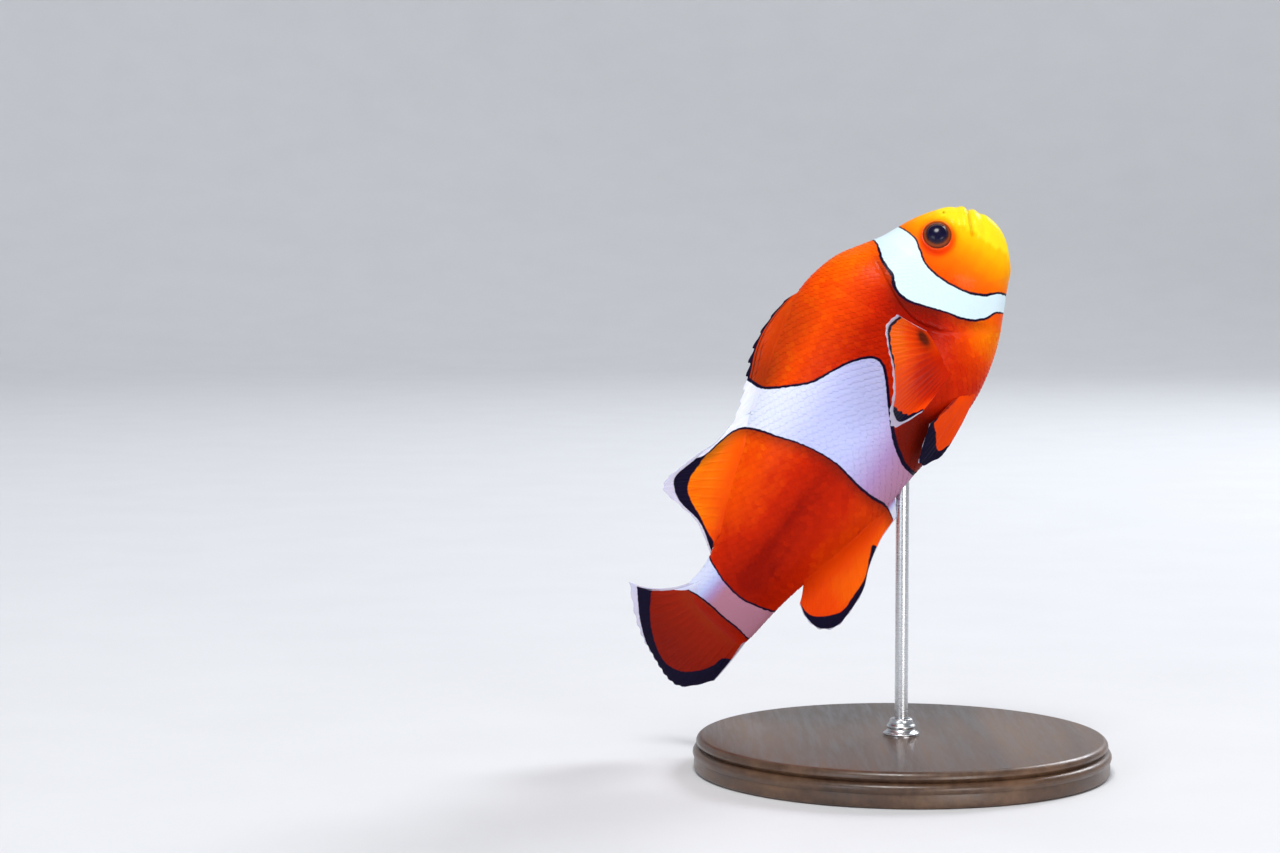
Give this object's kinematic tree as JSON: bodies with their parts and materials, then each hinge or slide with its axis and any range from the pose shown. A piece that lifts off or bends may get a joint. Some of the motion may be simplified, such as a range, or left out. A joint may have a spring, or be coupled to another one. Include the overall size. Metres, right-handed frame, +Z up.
{
  "type": "clownfish",
  "caption": "Orange anemonefish with three white bands, swimming head up with fins spread, held by a rod on a round display base.",
  "frame": {"origin": "centre of the stand's base, on its underside", "axes": "+Z up; the fish heads towards +X and +Z and shows its right flank to -Y"},
  "size_m": [0.0692, 0.06, 0.081],
  "materials": {
    "skin": "wet scaled skin, orange with white bands edged in black",
    "fin": "thin rayed membrane, orange with a black band and a pale rim",
    "eye": "wet clear cornea over a dark pupil and a brown-orange iris",
    "stand_wood": "dark satin walnut",
    "stand_metal": "brushed"
  },
  "bodies": {
    "root": {"head": "skin", "torso": "skin", "tail_stalk": "skin", "dorsal_fin_spiny": "fin", "dorsal_fin_soft": "fin", "anal_fin": "fin", "caudal_fin": "fin", "pectoral_fin_right": "fin", "pectoral_fin_left": "fin", "pelvic_fin_right": "fin", "pelvic_fin_left": "fin", "eye_right": "eye", "eye_left": "eye", "stand_base": "stand_wood", "stand_rod": "stand_metal", "stand_collar": "stand_metal"}
  },
  "joints": []
}
